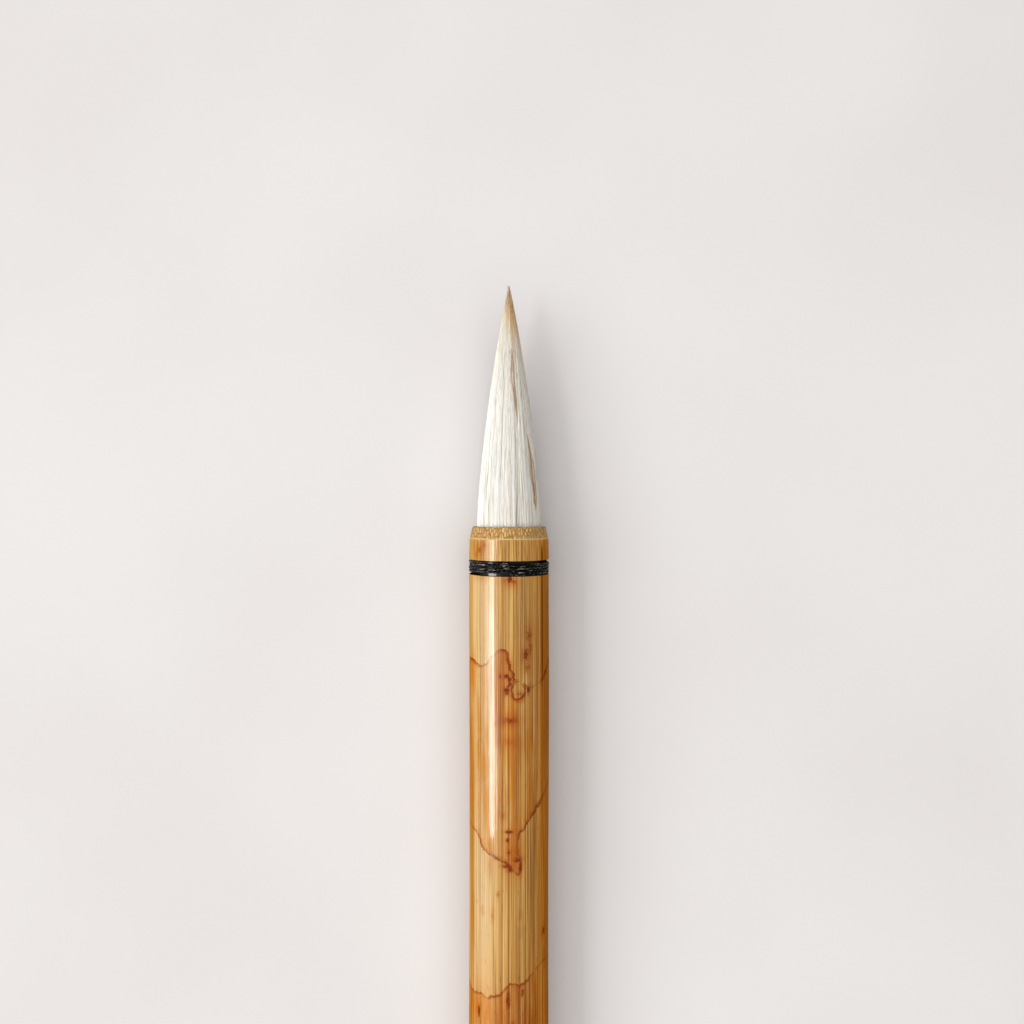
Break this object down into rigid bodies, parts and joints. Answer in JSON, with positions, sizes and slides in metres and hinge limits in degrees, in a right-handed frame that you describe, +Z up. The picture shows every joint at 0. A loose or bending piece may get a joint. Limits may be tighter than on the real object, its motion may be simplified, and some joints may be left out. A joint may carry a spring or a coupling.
{
  "type": "calligraphy brush",
  "caption": "Bamboo calligraphy brush with a pointed white goat hair tuft, a chamfered mouth and a black thread binding. The sprung tuft bends to either side.",
  "frame": {"origin": "centre of the bounding box's underside: on the surface the brush lies on, midway between the tip and the tail", "axes": "+Y along the brush towards the hair's tip, +Z up, +X to the right when looking along the tip's direction from above"},
  "size_m": [0.011, 0.2318, 0.011],
  "materials": {
    "bamboo": "varnished honey bamboo with fine fibre lines and brown water stains",
    "black_thread": "polished black twisted thread",
    "plug_wood": "turned and varnished",
    "root_hair": "pale hair bound tight",
    "tie_thread": "undyed twisted cotton",
    "resin": "brittle amber resin",
    "glue": "hardened yellowish glue",
    "cover_hair": "creamy white goat hair, amber at the point",
    "belly_hair": "short pale goat hair",
    "core_hair": "long pale goat hair"
  },
  "bodies": {
    "handle": {"handle_tube": "bamboo", "binding_thread": "black_thread", "tail_plug": "plug_wood", "hair_root": "root_hair", "root_tie": "tie_thread", "root_resin": "resin", "socket_glue": "glue"},
    "tuft": {"cover_hair": "cover_hair", "belly_hair": "belly_hair", "core_hair": "core_hair"}
  },
  "joints": [
    {"name": "tuft_bend", "type": "hinge", "parent": "handle", "child": "tuft", "pos_m": [0, 0.0845, 0.0055], "axis": [0, 0, 1], "range_deg": [-40, 40], "stiffness_Nm_per_rad": 0.007}
  ]
}
